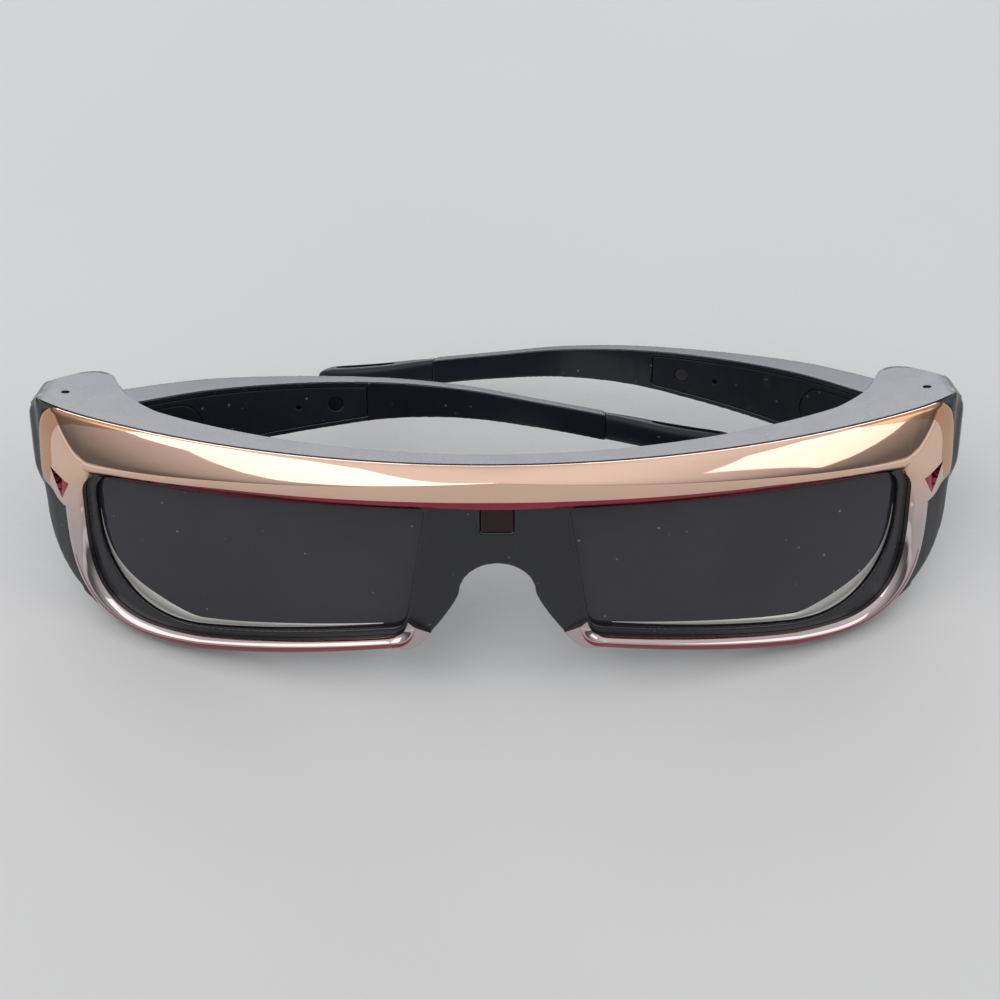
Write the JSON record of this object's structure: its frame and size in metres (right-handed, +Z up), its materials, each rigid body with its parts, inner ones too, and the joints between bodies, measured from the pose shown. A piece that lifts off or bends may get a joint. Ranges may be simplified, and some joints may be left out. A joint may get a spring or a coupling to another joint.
{
  "type": "3d glasses",
  "caption": "Active shutter 3d glasses with a mirror rose-gold bezel, dark wrap lenses and temples folded one behind the other.",
  "frame": {"origin": "middle of the base of the folded glasses' box, on the table that they lie on", "axes": "+X to the wearer's left, +Y towards the back of the glasses, +Z up from the table; the front leans back on the folded left temple"},
  "size_m": [0.1732, 0.0826, 0.0435],
  "materials": {
    "frame_plastic": "satin moulded",
    "bezel_chrome": "mirror rose-gold plating on plastic",
    "lens_glass": "polished dark shutter glass",
    "window_plastic": "polished dark red",
    "electronics": "solder mask",
    "flex_film": "polyimide film",
    "steel": "turned",
    "dark_steel": "blackened",
    "soft_rubber": "matte moulded",
    "temple_plastic": "satin moulded",
    "inner_plastic": "fine matte",
    "cap_plastic": "satin",
    "cell_foil": "foil pouch"
  },
  "bodies": {
    "front": {"front_housing": "frame_plastic", "rear_cover": "frame_plastic", "front_bezel": "bezel_chrome", "left_lens": "lens_glass", "right_lens": "lens_glass", "ir_window": "window_plastic", "ir_receiver": "electronics", "flex_circuit": "flex_film", "cover_screws": "steel", "nose_pad": "soft_rubber", "left_hinge_pin": "steel", "right_hinge_pin": "steel"},
    "left_arm": {"left_temple": "temple_plastic", "left_temple_cover": "inner_plastic", "left_inner_cap": "cap_plastic", "left_temple_screw": "dark_steel", "left_ear_tip": "soft_rubber", "circuit_board": "electronics", "charging_port": "steel"},
    "right_arm": {"right_temple": "temple_plastic", "right_temple_cover": "inner_plastic", "right_inner_cap": "cap_plastic", "right_temple_screw": "dark_steel", "right_ear_tip": "soft_rubber", "battery_cell": "cell_foil"},
    "button": {"power_button": "cap_plastic"}
  },
  "joints": [
    {"name": "left_hinge", "type": "hinge", "parent": "front", "child": "left_arm", "pos_m": [0.079, -0.00336, 0.02594], "axis": [0, -0.3821, -0.9241], "range_deg": [0, 76]},
    {"name": "right_hinge", "type": "hinge", "parent": "front", "child": "right_arm", "pos_m": [-0.079, -0.00336, 0.02594], "axis": [0, 0.3821, 0.9241], "range_deg": [0, 83.6]},
    {"name": "button_press", "type": "slide", "parent": "left_arm", "child": "button", "axis": [0, 0.3821, 0.9241], "range_m": [0, 0.0005], "stiffness_N_per_m": 200, "springref_m": -0.0003}
  ],
  "couplings": [
    {"joint": "right_hinge", "follows": "left_hinge", "ratio": 1.1}
  ]
}
